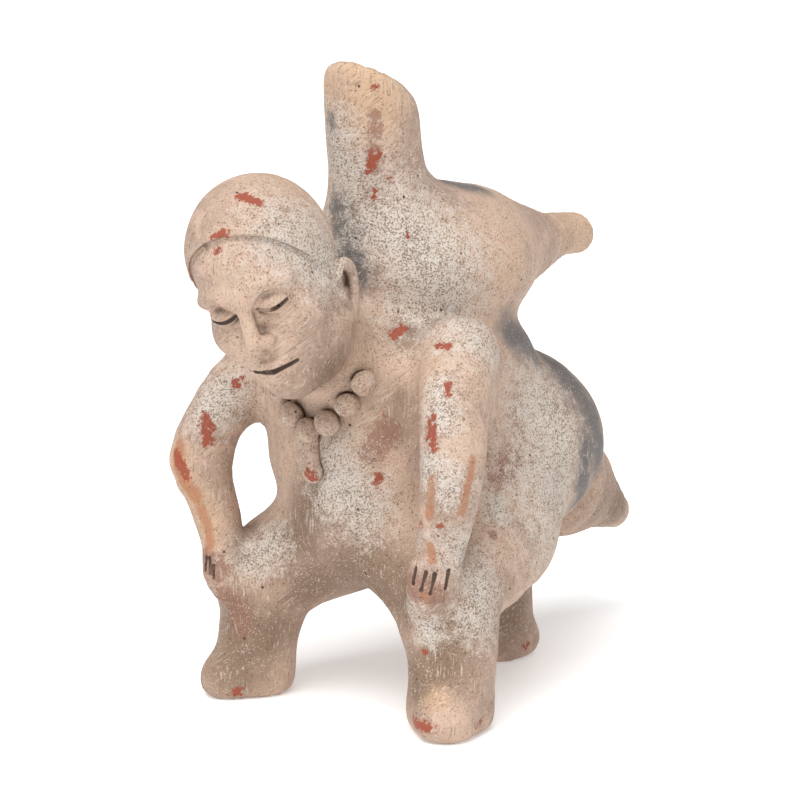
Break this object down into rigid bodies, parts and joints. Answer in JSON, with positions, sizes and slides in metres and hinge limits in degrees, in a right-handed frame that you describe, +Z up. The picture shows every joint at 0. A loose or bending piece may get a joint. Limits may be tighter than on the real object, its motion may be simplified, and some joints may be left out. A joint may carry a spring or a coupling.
{
  "type": "pottery effigy vessel",
  "caption": "Hollow fired-clay vessel shaped as a stooping carrier with a jar on the back, standing on splayed legs.",
  "frame": {"origin": "on the ground, under the middle of the vessel's box", "axes": "+Z up, the figure faces -Y and its left hand is at +X; the lug and the tail point to +Y"},
  "size_m": [0.159, 0.3134, 0.2815],
  "materials": {
    "fired_clay": "burnished, with pale crust"
  },
  "bodies": {
    "root": {"effigy_vessel": "fired_clay"}
  },
  "joints": []
}
